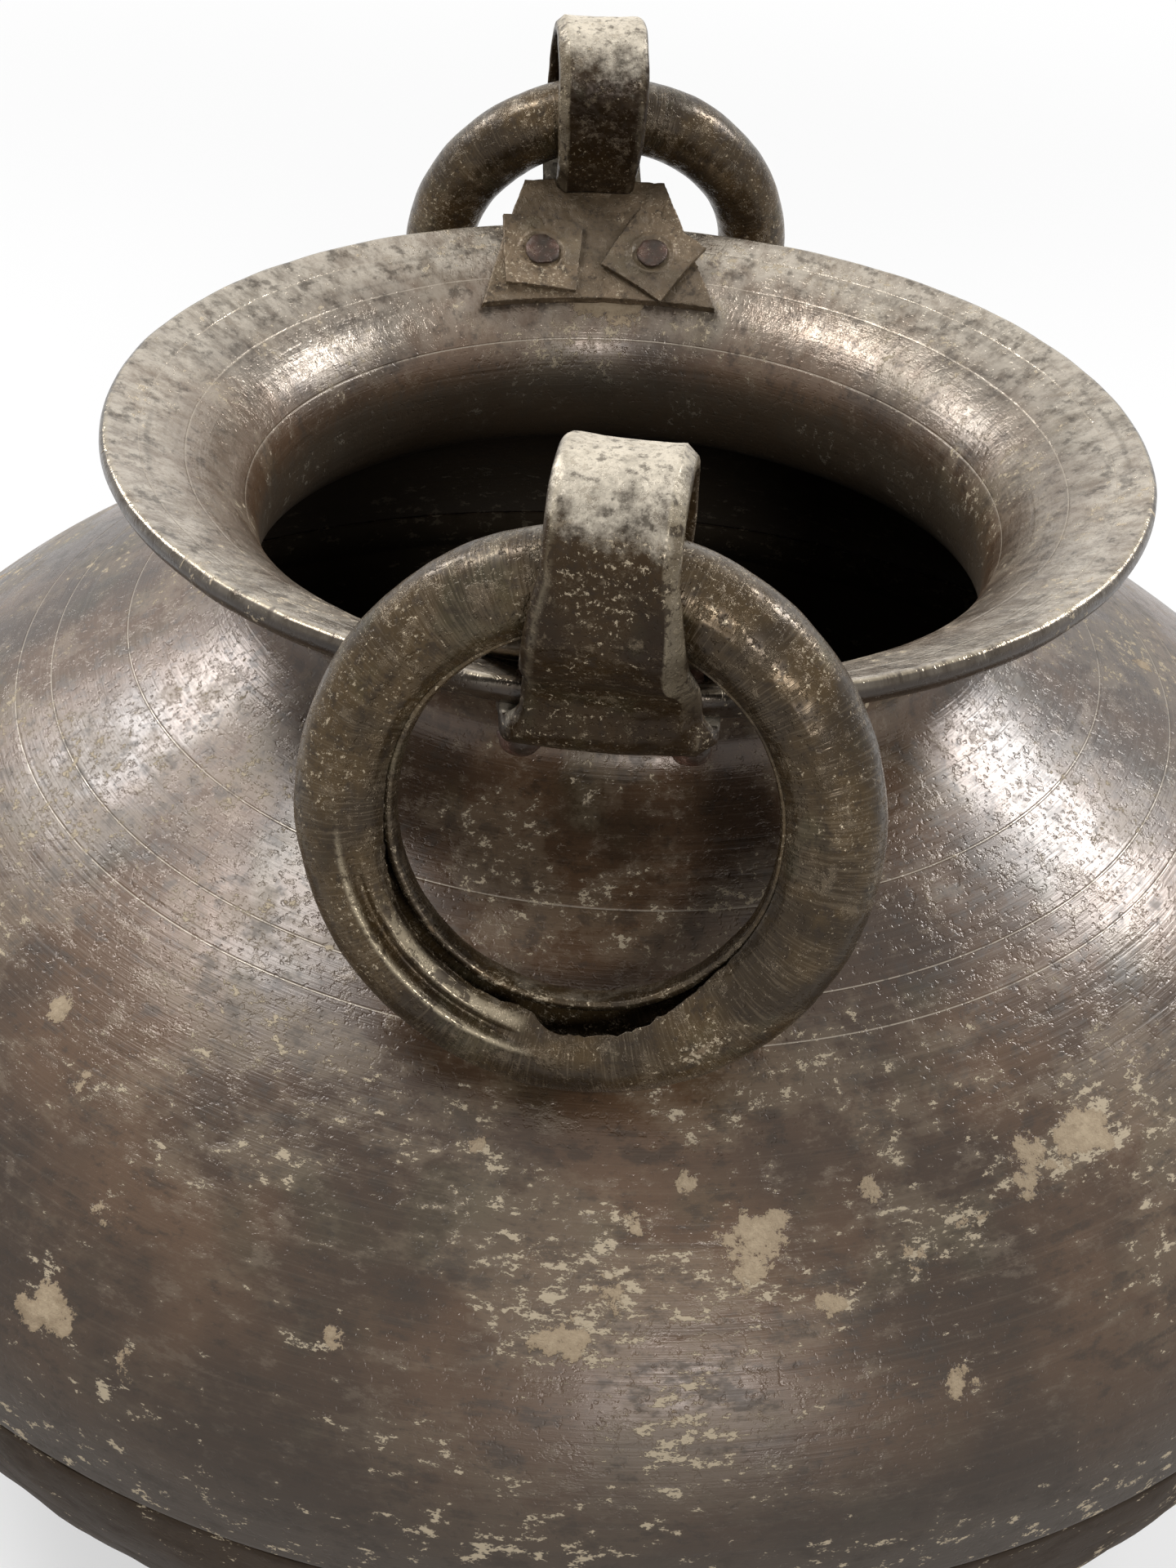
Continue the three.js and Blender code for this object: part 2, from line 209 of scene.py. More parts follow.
# Colours of the patina, of what lies on it and of what shows through
tones = {
    "brown": paint(98, 75, 56),
    "dusk": paint(68, 52, 39),
    "umber": paint(46, 37, 28),
    "olive": paint(78, 62, 39),
    "bronze": paint(54, 43, 29),
    "coffee": paint(58, 44, 27),
    "peat": paint(42, 31, 20),
    "grey": paint(140, 125, 107),
    "film": paint(134, 119, 98),
    "chalk": paint(186, 174, 157),
    # pale patina with painted sheen, for the flare
    "silver": paint(216, 206, 190),
    # pale dust and painted light, for upper faces
    "bone": paint(222, 211, 192),
    "crust": paint(182, 163, 136),
    "speck": paint(194, 178, 152),
    "green": paint(84, 88, 66),
    "rust": paint(98, 66, 52),
    "tan": paint(136, 116, 92),
    "plate": paint(118, 100, 78),
    "plateShade": paint(84, 70, 52),
    # worn metal, also used for painted highlights on the ring and the lip's arris
    "worn": paint(184, 170, 144),
    # a dark tone painted inside the pot as shade
    "insideShade": paint(50, 42, 31),
}


def startTree(started):
    global tree
    tree = started
    return tree


def setInput(socket, value):
    if isinstance(value, str):
        value = tones[value]
    if isinstance(value, bpy.types.NodeSocket):
        tree.links.new(value, socket)
    elif socket.type == "RGBA" and len(value) == 3:
        socket.default_value = (*value, 1)
    else:
        socket.default_value = value


def fill(node, inputs):
    for key, value in inputs.items():
        setInput(node.inputs[key], value)


def addNode(kind, inputs=None, **settings):
    node = tree.nodes.new("ShaderNode" + kind)
    for key, value in settings.items():
        setattr(node, key, value)
    fill(node, inputs or {})
    return node


def maths(operation, first, *others):
    total = first
    for other in others:
        total = addNode("Math", {0: total, 1: other}, operation=operation).outputs[0]
    return total


def plus(*values):
    return maths("ADD", *values)


def minus(*values):
    return maths("SUBTRACT", *values)


def times(*values):
    return maths("MULTIPLY", *values)


def largest(*values):
    return maths("MAXIMUM", *values)


def clamped(value):
    value.node.use_clamp = True
    return value


def split(vector):
    return addNode("SeparateXYZ", {0: vector}).outputs


def combine(x=0.0, y=0.0, z=0.0):
    return addNode("CombineXYZ", {0: x, 1: y, 2: z}).outputs[0]


def vectors(operation, a, b=origin):
    node = addNode("VectorMath", {0: a, 1: b}, operation=operation)
    return node.outputs["Value" if operation in ("LENGTH", "DOT_PRODUCT") else "Vector"]


def unrolled(around, length, run, fineness):
    # a frame drawn out round the pot by one measure and along its outline by the other
    turned = addNode("VectorMath", {0: around, "Scale": length}, operation="SCALE").outputs[0]
    return vectors("ADD", turned, combine(z=times(run, fineness)))


def ease(value, low, high, fromValue=0.0, toValue=1.0):
    return addNode("MapRange", {
        "Value": value, "From Min": low, "From Max": high, "To Min": fromValue, "To Max": toValue,
    }, interpolation_type="SMOOTHSTEP").outputs[0]


def noiseAt(vector, scale, detail, rough):
    return addNode("TexNoise", {
        "Vector": vector, "Scale": scale, "Detail": detail, "Roughness": rough,
    }).outputs["Fac"]


def ownNoise(detail, rough, size="size"):
    # noise at the spot and of the size that a group is given
    return noiseAt(given["spot"], maths("DIVIDE", 1.0, given[size]), detail, rough)


def mixColors(share, a, b):
    node = addNode("Mix", {0: share}, data_type="RGBA")
    for socket, color in zip([s for s in node.inputs if s.type == "RGBA"], (a, b)):
        setInput(socket, color)
    return [s for s in node.outputs if s.type == "RGBA"][0]


def layered(color, layers):
    # lays tones over a colour, each where its mask is and by its share
    for mask, share, tone in layers:
        color = mixColors(times(mask, share), color, tone)
    return color


groups = {}


def startGroup(name, **inputs):
    groups[name] = startTree(bpy.data.node_groups.new(name, "ShaderNodeTree"))
    for label, value in inputs.items():
        kind = "NodeSocketVector" if isinstance(value, tuple) else "NodeSocketFloat"
        socket = tree.interface.new_socket(label, in_out="INPUT", socket_type=kind)
        socket.default_value = value
    return tree.nodes.new("NodeGroupInput").outputs


def endGroup(**results):
    for label, value in results.items():
        kind = "NodeSocketVector" if value.type == "VECTOR" else "NodeSocketFloat"
        tree.interface.new_socket(label, in_out="OUTPUT", socket_type=kind)
    fill(tree.nodes.new("NodeGroupOutput"), results)


def useGroup(name, **inputs):
    return addNode("Group", inputs, node_tree=groups[name]).outputs


# Where a point lies on the turned body: which way round, and how far along the outline

given = startGroup("potRound", neckHeight=0.335, seamHeight=0.166)
parts = split(addNode("TexCoord").outputs["Object"])
flat = combine(parts["X"], parts["Y"])
radius = vectors("LENGTH", flat)
# up the belly and shoulder the radius shrinks, so there the height counts the other way
belowNeck = maths("LESS_THAN", parts["Z"], given["neckHeight"])
aboveSeam = maths("GREATER_THAN", parts["Z"], given["seamHeight"])
sign = minus(1.0, times(belowNeck, aboveSeam, 2.0))
run = plus(radius, times(sign, parts["Z"]))
endGroup(around=vectors("NORMALIZE", flat), run=run, radius=radius, height=parts["Z"])


# Fine lines left by turning, and a few broad ones that are deeper

given = startGroup("turnedLines", around=origin, run=0.0, fineness=900.0, length=3.0, wander=0.002)
drift = minus(noiseAt(given["around"], 2.5, 1.0, 0.55), 0.5)
run = plus(given["run"], times(drift, given["wander"]))
fine = unrolled(given["around"], given["length"], run, given["fineness"])
broad = unrolled(given["around"], times(given["length"], 0.6), run, times(given["fineness"], 0.22))
endGroup(
    lines=noiseAt(fine, 1.0, 3.0, 0.65),
    grooves=ease(noiseAt(broad, 1.0, 1.0, 0.5), 0.58, 0.76),
)


# Cloudy patches of another tone

given = startGroup("clouds", spot=origin, size=0.03, low=0.4, high=0.6, detail=4.0, rough=0.62)
value = ownNoise(given["detail"], given["rough"])
endGroup(mask=ease(value, given["low"], given["high"]))


# Mottled grain of the patina: dark spots and pale ones

given = startGroup("grain", spot=origin, size=0.009, spread=0.14)
value = ownNoise(5.0, 0.74)
endGroup(
    dark=ease(value, 0.49, minus(0.49, given["spread"])),
    pale=ease(value, 0.53, plus(0.53, given["spread"])),
)


# Old deposit in hard-edged flakes, with its height. Marked spots pull the flakes to them.

given = startGroup("crust", spot=origin, size=0.03, amount=0.3, near=0.0, pull=0.28)
ragged = ownNoise(6.0, 0.76)
value = plus(times(ragged, 0.8), times(given["near"], given["pull"]))
edge = minus(0.9, times(given["amount"], 0.5))
mask = ease(value, edge, plus(edge, 0.03))
fuller = ease(value, edge, plus(edge, 0.16), 0.45, 1.0)
endGroup(mask=mask, height=times(mask, fuller))


# Small pale flecks of many sizes, gathered in clusters

given = startGroup("specks", spot=origin, size=0.004, amount=0.3, cluster=0.0)
dots = ownNoise(4.0, 0.78)
edge = minus(0.665, times(given["cluster"], given["amount"]))
endGroup(mask=ease(dots, edge, plus(edge, 0.05)))


# Metal that shows where hands and cloths have rubbed an arris

given = startGroup("wornEdge", spot=origin, low=0.52, high=0.6, breakSize=0.006)
pointed = addNode("NewGeometry").outputs["Pointiness"]
broken = minus(ownNoise(4.0, 0.6, "breakSize"), 0.5)
endGroup(mask=ease(plus(pointed, times(broken, 0.12)), given["low"], given["high"]))


# Pale dust that settles on upper faces, and painted light that makes upper faces paler

given = startGroup("dustAndLitTop", spot=origin, low=0.2, high=0.9, size=0.008)
up = split(addNode("TexCoord").outputs["Normal"])["Z"]
broken = minus(ownNoise(6.0, 0.7), 0.5)
endGroup(mask=ease(plus(up, times(broken, 1.6)), given["low"], given["high"]))


# Shallow dents and pits from the hammer, as a height

given = startGroup("hammering", spot=origin, size=0.012, pitSize=0.002)
endGroup(
    dents=ownNoise(1.0, 0.4),
    pits=ease(ownNoise(2.0, 0.6, "pitSize"), 0.44, 0.3),
)


# Scratches that cross a ring's tube, seen in the ring's own frame

given = startGroup("crossScratches", fineness=110.0, reach=80.0)
spot = addNode("TexCoord").outputs["Object"]
parts = split(spot)
angle = maths("ARCTAN2", parts["X"], parts["Z"])
radius = vectors("LENGTH", combine(parts["X"], 0.0, parts["Z"]))
lines = noiseAt(combine(
    times(angle, given["fineness"]),
    times(radius, given["reach"]),
    times(parts["Y"], given["reach"]),
), 1.0, 2.0, 0.5)
patchy = noiseAt(spot, 45.0, 2.0, 0.5)
endGroup(mask=ease(plus(lines, times(patchy, 0.5)), 0.72, 0.95))
print("shader groups made")


# Helpers for materials

def startMaterial(name, look):
    material = bpy.data.materials.new(name)
    material.use_nodes = True
    shader = startTree(material.node_tree).nodes["Principled BSDF"]
    fill(shader, {
        "Metallic": look["metallic"], "Roughness": look["roughness"],
        "Specular IOR Level": look["shine"],
    })
    return material, shader


def readMark(name):
    return addNode("Attribute", attribute_name=name).outputs["Fac"]


def relief(*layers):
    # layers are pairs of a height from 0 to 1 and what it stands for in millimetres
    total = plus(*[times(height, depth * mm) for height, depth in layers])
    return addNode("Bump", {"Height": total, "Distance": 1.0, "Strength": 1.0}).outputs["Normal"]


# The turned body's finish

bodyLook = {"main": "brown", "dark": "dusk", "grainSize": 0.008, "film": 0.3, "mottle": 0.6}
bands = {
    # where on the body a finish or form starts and is full: heights and one radius in metres
    "seamUnder": (0.15, 0.174),
    "seamOver": (0.2, 0.174),
    "flare": (0.343, 0.372),
    "outerFlare": (0.371, 0.379),
    "arrisRadius": (0.1762, 0.1774),
    "arrisHeight": (0.378, 0.381),
    "lip": (0.358, 0.373),
    "inside": (0.352, 0.335),
    "rim": (0.345, 0.375),
    "rolledLip": (0.372, 0.381),
    "darkeningFull": 0.165,
}
flakes = {
    # degrees round the pot from the front, distance from the axis and reach in millimetres
    "places": (
        (37, 257, 17), (31, 260, 16), (26, 266, 12), (22, 272, 12), (20, 255, 9), (12, 264, 20),
        (23, 299, 12), (0, 284, 17), (7, 300, 13), (-29, 306, 16), (8, 249, 7), (-6, 244, 6),
        (-28, 283, 10), (-39, 250, 9), (-23, 307, 11), (5, 259, 10), (23, 213, 7), (93, 196, 11),
        (3, 275, 12), (16, 276, 11), (-12, 292, 9), (-34, 262, 9), (-45, 288, 12), (44, 285, 13),
        (150, 250, 15), (205, 275, 13), (255, 262, 17), (118, 290, 13), (180, 300, 12),
        (290, 240, 12),
    ),
    # crust on the flare round each riveted plate: middle and reach outwards and to the side
    "plateTurns": (0.5, 187.5),
    "plateOut": (148, 17),
    "plateAside": (-6, 36),
    "plateLow": 345,
    "plateShare": 1.3,
    "size": 0.022,
    "pull": 0.42,
}


def nearFlakes(spots):
    # how near each spot is to the nearest of the flakes' places
    nearest = np.zeros(len(spots))
    for degrees, radius, reach in flakes["places"]:
        height = min(bellyLine + shoulderLine, key=lambda p: abs(p[0] - radius))[1]
        centre = onCircle(radius, math.radians(degrees), height)
        nearest = np.maximum(nearest, bump(np.linalg.norm(spots - centre, axis=1), 0, reach))
    for degrees in flakes["plateTurns"]:
        a = math.radians(degrees)
        out = bump(spots @ (math.sin(a), -math.cos(a), 0), *flakes["plateOut"])
        aside = bump(spots @ (math.cos(a), math.sin(a), 0), *flakes["plateAside"])
        onFlare = spots[:, 2] > flakes["plateLow"]
        nearest = np.maximum(nearest, flakes["plateShare"] * out * aside * onFlare)
    return nearest


def turnedFinish(name, look):
    material, shader = startMaterial(name, look)
    coordinates = addNode("TexCoord").outputs
    spot, normal = coordinates["Object"], coordinates["Normal"]
    near = readMark("deposit")
    body = useGroup("potRound")
    around, run, height = body["around"], body["run"], body["height"]
    lines = useGroup("turnedLines", around=around, run=run, fineness=look["fineness"])
    drawn = unrolled(around, 0.15, run, 0.8)  # for films and specks that follow the turning
    broad = useGroup("clouds", spot=spot, size=0.09, low=0.38, high=0.6, detail=3.0)["mask"]
    grain = useGroup("grain", spot=drawn, size=look["grainSize"])
    filmLow = look["filmLow"]
    film = useGroup(
        "clouds", spot=drawn, size=0.045, low=filmLow, high=filmLow + 0.1, detail=6.0, rough=0.72,
    )["mask"]
    greens = useGroup("clouds", spot=spot, size=0.04, low=0.55, high=0.68, detail=2.0)["mask"]
    crust = useGroup(
        "crust", spot=spot, size=flakes["size"], amount=look["crust"],
        near=near, pull=flakes["pull"],
    )
    seam = times(ease(height, *bands["seamUnder"]), ease(height, *bands["seamOver"]))
    film = largest(film, times(seam, 0.9))
    cluster = plus(times(film, 0.8), times(near, 0.6))
    specks = useGroup("specks", spot=drawn, amount=look["specks"], cluster=cluster)["mask"]
    scribed = times(ease(readMark("scribed"), 0.1, 0.8), ease(grain["dark"], 1.3, 0.2))
    # the flare is pale above, most in its outer band, with short marks that run outwards; its
    # silver is partly pale patina and partly painted sheen
    flare = times(ease(height, *bands["flare"]), ease(split(normal)["Z"], 0.1, 0.5))
    outer = times(flare, ease(height, *bands["outerFlare"]))
    outward = unrolled(around, 24.0, run, 70.0)
    wearAndHighlight = ease(noiseAt(outward, 1.0, 5.0, 0.72), 0.3, 0.64, 0.35, 1.0)
    paleAndSheen = plus(times(flare, 0.38), times(outer, 0.44))
    # the arris of the lip is worn bright and carries a painted highlight, and the lip's outer face
    # and the flare's underside just under it are painted dark as shade
    facing = vectors("DOT_PRODUCT", normal, around)
    arris = times(
        ease(body["radius"], *bands["arrisRadius"]), ease(facing, 0.62, 0.45),
        ease(height, *bands["arrisHeight"]), ease(grain["dark"], 0.6, 0.0),
    )
    lip = times(ease(height, *bands["lip"]), ease(facing, 0.1, 0.5))
    # the outside is darker towards the bottom, and the inside under the neck is painted dark as
    # shade
    uneven = plus(height, times(grain["dark"], -0.01))
    darkerLow = ease(uneven, look["darkeningStart"], bands["darkeningFull"])
    # painted shade on the inside of the pot under the neck
    inside = times(ease(facing, 0.1, -0.2), ease(height, *bands["inside"]))

    crustTone = layered(mixColors(crust["height"], "tan", "crust"), [(grain["dark"], 0.4, "plate")])
    color = layered(mixColors(broad, look["dark"], look["main"]), [
        (film, look["film"], "film"),
        (greens, 0.15, "green"),
        # pale patina and painted sheen on the flare
        (paleAndSheen, wearAndHighlight, "silver"),
        (grain["dark"], look["mottle"], "umber"),
        (grain["pale"], look["mottle"] * 0.6, "grey"),
        (ease(lines["lines"], 0.5, 0.75), 0.13, "grey"),
        (lines["grooves"], 0.25, "umber"),
        (scribed, 0.75, "chalk"),
        # darker towards the bottom
        (darkerLow, 0.85, "umber"),
        # painted shade on the lip's outer face and under the flare
        (lip, 0.8, "umber"),
        # worn metal with a painted highlight on the lip's arris
        (arris, 0.35, "worn"),
        (specks, 0.85, "speck"),
        (crust["mask"], 1.0, crustTone),
        # painted shade inside the pot
        (inside, 0.85, "insideShade"),
    ])
    dull = largest(crust["mask"], specks, times(film, 0.25), times(inside, 0.5))
    rough = plus(
        look["roughness"] - 0.08, times(lines["lines"], 0.16), times(flare, -0.05),
        times(grain["dark"], 0.08), times(darkerLow, 0.2), times(dull, 0.5),
    )
    metal = times(plus(look["metallic"], times(paleAndSheen, 0.8)), clamped(minus(1.0, dull)))
    hammered = useGroup("hammering", spot=spot, size=0.02, pitSize=0.0024)
    surface = relief(
        (hammered["dents"], look["dents"]),
        (lines["lines"], look["lineDepth"]),
        (lines["grooves"], -0.05),
        (hammered["pits"], -0.08),
        (grain["pale"], 0.07),
        (times(flare, wearAndHighlight), 0.2),
        (largest(crust["height"], times(specks, 0.35)), 0.5),
    )
    fill(shader, {
        "Base Color": color, "Roughness": clamped(rough), "Metallic": metal, "Normal": surface,
    })
    return material


# The forged and rolled pieces' finish

def forgedFinish(name, look):
    material, shader = startMaterial(name, look)
    spot = addNode("TexCoord").outputs["Object"]
    near, wearAndHighlight = readMark("deposit"), readMark("wearAndHighlight")
    broad = useGroup("clouds", spot=spot, size=0.03, low=0.38, high=0.62, detail=3.0)["mask"]
    grain = useGroup("grain", spot=spot, size=look["grainSize"])
    greens = useGroup("clouds", spot=spot, size=0.02, low=0.55, high=0.68, detail=2.0)["mask"]
    crust = useGroup("crust", spot=spot, size=0.012, amount=look["crust"], near=near)
    cluster = plus(times(broad, 0.6), times(near, 0.5))
    specks = useGroup(
        "specks", spot=spot, size=0.0018, amount=look["specks"], cluster=cluster,
    )["mask"]
    dustAndLitTopLow, wornLow = look["dustAndLitTopLow"], look["wornLow"]
    dustAndLitTop = useGroup("dustAndLitTop", spot=spot, low=dustAndLitTopLow, high=dustAndLitTopLow + 0.8)["mask"]
    worn = useGroup("wornEdge", spot=spot, low=wornLow, high=wornLow + 0.06)["mask"]
    scratches = useGroup("crossScratches")["mask"]

    color = layered(mixColors(broad, look["dark"], look["main"]), [
        (greens, look["green"], "green"),
        (scratches, look["scratches"], "film"),
        # pale dust and painted light on upper faces
        (dustAndLitTop, look["dustAndLitTop"], "bone"),
        (grain["dark"], 0.7, "umber"),
        (grain["pale"], look["pale"], "film"),
        (worn, look["worn"], "worn"),
        # rubbed arrises on the straps, and painted highlights on the ring's bent lip
        (wearAndHighlight, ease(grain["dark"], 0.5, 0.0, 0.1, 0.8), "worn"),
        (specks, 0.7, "speck"),
        (crust["mask"], 0.85, mixColors(crust["height"], *look["flakes"])),
    ])
    dull = largest(crust["mask"], times(dustAndLitTop, 0.3))
    rough = plus(
        look["roughness"] - 0.05, times(grain["dark"], 0.18), times(wearAndHighlight, -0.1), times(dull, 0.4),
    )
    metal = times(look["metallic"], clamped(minus(1.0, dull)))
    hammered = useGroup("hammering", spot=spot, size=look["hammerSize"], pitSize=0.0016)
    surface = relief(
        (hammered["dents"], look["dents"]),
        (grain["pale"], 0.22),
        (hammered["pits"], -0.14),
        (scratches, look["scratchDepth"]),
        (crust["height"], 0.3),
    )
    fill(shader, {
        "Base Color": color, "Roughness": clamped(rough), "Metallic": metal, "Normal": surface,
    })
    return material


# Upper shell

shell = {
    "sides": 320,
    "wall": 4,
    "waveSize": 70,
    "waveDepth": 0.7,
    "hammerSize": 22,
    "hammerDepth": 0.5,
    "lipWave": 0.8,
    "lipWaveSize": 50,
    "scribeDepth": 0.2,
    "scribeWidth": 0.35,
    "shoulderCircles": (215.6, 202.9, 175.5),
    "flareCircles": (132.5, 152, 167),
}

bellyLine = bezierLine((319, 178), (319, 218), (260.7, 261.6), (216, 284), 4)
shoulderLine = bezierLine((216, 284), (153.4, 315.3), (132, 323), (132, 335), 4)
underFlare = bezierLine((132, 335), (132, 349), (150, 372), (176, 374), 3)
flareTop = bezierLine((179, 385), (158.6, 376.8), (128, 365), (128, 335), 3)
innerShoulder = bezierLine((214.2, 280.4), (169.5, 302.8), (128, 293), (128, 335), 5)
innerBelly = offsetLine(bellyLine, shell["wall"])
outerLine = bellyLine + shoulderLine[1:]
for radius in shell["shoulderCircles"]:
    outerLine = scribe(outerLine, radius, shell["scribeDepth"], shell["scribeWidth"])
for radius in shell["flareCircles"]:
    flareTop = scribe(flareTop, radius, shell["scribeDepth"], shell["scribeWidth"])
lowerEdge = [(317.8, 166), (318.5, 166.15), (318.85, 166.5), (319, 167), (319, 168), (319, 172)]
rolledLip = [(177.7, 375.4), (179.2, 377.6), (180, 380), (179.8, 381.8), (179.2, 383.1), (178, 384)]
shellOutline = (
    lowerEdge + outerLine + underFlare[1:] + rolledLip + flareTop[1:]
    + innerShoulder[::-1][1:] + innerBelly[::-1][1:] + [(315, 172), (315, 166)]
)


def shellShift(p):
    # the sheet was raised by eye, so it isn't quite round, and the hammer shows round the rim
    out = Vector((p.x, p.y, p.z - 0.12)).normalized()
    wave = 0.5 + 0.5 * noise.noise(p / (shell["waveSize"] * mm))
    shift = -out * wave * shell["waveDepth"]
    down = Vector((0, 0, -1))
    near = noise.voronoi(p / (shell["hammerSize"] * mm))[0][0]
    shift += down * smoothStep(p.z, *bands["rim"]) * shell["hammerDepth"] * min(1, near * 1.3)
    wave = 0.5 + 0.5 * noise.noise(p / (shell["lipWaveSize"] * mm))
    shift += down * smoothStep(p.z, *bands["rolledLip"]) * shell["lipWave"] * wave
    return shift * mm


shellMetal = turnedFinish("shellMetal", {
    **bodyLook, "metallic": 0.14, "roughness": 0.24, "shine": 0.48, "fineness": 760.0,
    "darkeningStart": 0.265, "crust": 0.31, "specks": 0.13, "filmLow": 0.48, "dents": 0.4,
    "lineDepth": 0.1,
})
shellSkin = turnedPiece("shellSkin", shellOutline, shell["sides"], shellMetal, shellShift)
standIn(markByPlace(shellSkin, "deposit", nearFlakes), "upper_shell")
print("upper shell made")


# Lower bowl

bowl = {
    "sides": 320,
    "wall": 4,
    "hammerSize": 26,
    "hammerDepth": 1.6,
    "flatRadius": 0.112,  # the plain flat base, in metres
    "flatHeight": 0.0045,
}

bowlLine = bezierLine((110, 0), (215, 0), (319, 78), (319, 165.7), 5)
bowlInner = offsetLine(bowlLine, bowl["wall"])
bowlOutline = (
    [(0, 0), (30, 0), (60, 0), (90, 0)] + bowlLine
    + [(318.5, 165.7), (314.7, 165.7), (314.7, 177.7), (310.7, 177.7), (310.7, 162)]
    + bowlInner[::-1][1:] + [(r, bowl["wall"]) for r in (90, 60, 30, 0)]
)


def bowlShift(p):
    away = math.hypot(p.x, p.y)
    if p.z < bowl["flatHeight"] and away < bowl["flatRadius"]:
        return Vector()
    out = Vector((p.x, p.y, p.z - 0.16)).normalized()
    near = noise.voronoi(p / (bowl["hammerSize"] * mm))[0][0]
    fade = smoothStep(away, 0.1, 0.2) * smoothStep(p.z, 0.172, 0.16)
    return -out * min(1, near * 1.2) * bowl["hammerDepth"] * fade * mm


bowlMetal = turnedFinish("bowlMetal", {
    **bodyLook, "metallic": 0.1, "roughness": 0.5, "shine": 0.2, "fineness": 500.0,
    "darkeningStart": 0.19, "crust": 0.26, "specks": 0.15, "filmLow": 0.5, "dents": 0.8,
    "lineDepth": 0.03,
})
bowlSkin = turnedPiece("bowlSkin", bowlOutline, bowl["sides"], bowlMetal, bowlShift, closed=False)
standIn(bowlSkin, "lower_bowl")
print("lower bowl made")


# Handles: how each is turned on the pot, and how the rivets and the rim lie under it

handles = {
    "front": {"turn": 0.5, "twist": -6, "tilt": 1.4, "lean": 15.976, "waist": 50},
    "back": {"turn": 187.5, "twist": 1, "tilt": 4.5, "lean": 15.721, "waist": 42},
}
stack = {
    "radius": 156.71, "height": 375.04, "slope": math.radians(36),
    "plateTop": 6.13, "roveTop": 8.93, "headUnder": -20.05,
}
rim = {
    "radius": 180, "top": 385, "lipLow": 374, "gap": 0.3, "play": 2.5,
    "ringCircle": 189.5, "ringUp": 40,
}


def turnAbout(side):
    return Matrix.Rotation(math.radians(handles[side]["turn"]), 4, "Z")


# Strap: a bar bent like a hairpin over the rim

strap = {
    "thickness": 7, "width": 36, "bevel": 3.8, "tip": 31,
    "foot": 66, "footThickness": 10.5, "footFrom": 5.5, "footLength": 34,
    "rise": 78.5, "ringTube": 15, "ringRadius": 67, "ringPlay": 2, "seat": 2.7, "tipOut": 31.5,
    "sooner": (7, 12, 33),  # how much, from how far over the rim, over which height
    "wander": ((2.2, 409, 10), (-0.6, 434, 8)),  # how much, at which height, how far it reaches
    "steps": 150, "across": 14, "hollow": 0.5, "raggedSteps": 8,
    "waveSize": 16, "waveDepth": 0.45, "pitSize": 4, "pitDepth": 0.25,
}


def arcPoints(centre, wide, tall, start, end, steps):
    angles = [math.radians(start + (end - start) * i / steps) for i in range(steps + 1)]
    return [(centre[0] + wide * math.cos(a), centre[1] + tall * math.sin(a)) for a in angles]


def evenPoints(line, steps):
    # the same line with evenly spaced points
    spots = np.array(line)
    lengths = np.concatenate(([0], np.cumsum(np.hypot(*np.diff(spots, axis=0).T))))
    wanted = np.linspace(0, lengths[-1], steps + 1)
    return np.stack([np.interp(wanted, lengths, spots[:, k]) for k in (0, 1)], axis=1)


def ringBow(width):
    # how far the ring's inner side bows in across a bar of this width
    return width ** 2 / 8 / strap["ringRadius"]


def strapLine(spec):
    # the middle line of the bar, from the foot under the flare over the ring to the plate
    half = strap["thickness"] / 2
    arch = strap["ringTube"] + ringBow((strap["width"] + 50) / 2) + strap["ringPlay"] + half
    archHeight = rim["top"] + strap["rise"] - half - arch
    lower = offsetLine(underFlare[::-1], rim["gap"] + half)
    reach = [0]
    for p, q in zip(lower, lower[1:]):
        reach.append(reach[-1] + math.dist(p, q))
    foot = [p for p, far in zip(lower, reach) if strap["footFrom"] <= far <= strap["footLength"]]
    line = foot[::-1]
    end = line[-1]
    beside = rim["radius"] + rim["play"] + half
    line += bezierLine(
        end, (beside - 3, end[1] + 0.5), (beside, rim["lipLow"] - 3), (beside, rim["top"] - 4), 2,
    )[1:]
    aside = spec["waist"] / 2 * math.sin(math.radians(spec["tilt"]))
    seat = strap["ringTube"] + ringBow(spec["waist"]) + aside + strap["seat"] + half
    hinge = (rim["ringCircle"], rim["top"] + rim["ringUp"])
    outer = arcPoints(hinge, arch, seat, -50, 0, 20)
    inner = arcPoints(hinge, arch, seat, 180, 210, 12)
    way = wayAlong(outer[0], outer[1]) * 7
    line += bezierLine(
        line[-1], (beside, rim["top"] + 9), (outer[0][0] - way.x, outer[0][1] - way.y), outer[0], 2,
    )[1:]
    line += outer[1:] + arcPoints((rim["ringCircle"], archHeight), arch, arch, 0, 180, 60) + inner
    down = wayAlong(inner[-2], inner[-1]) * 3.5
    # the tip stands on the plate, as far out along the slope of the flare as the bar needs
    cos, sin = math.cos(stack["slope"]), math.sin(stack["slope"])
    lift = stack["plateTop"] + rim["gap"]
    tip = (
        stack["radius"] + strap["tipOut"] * cos - lift * sin,
        stack["height"] + strap["tipOut"] * sin + lift * cos,
    )
    above = (tip[0] - 3.5 * sin, tip[1] + 3.5 * cos)
    line += bezierLine(inner[-1], (inner[-1][0] + down.x, inner[-1][1] + down.y), above, tip, 2)[1:]
    return line, archHeight


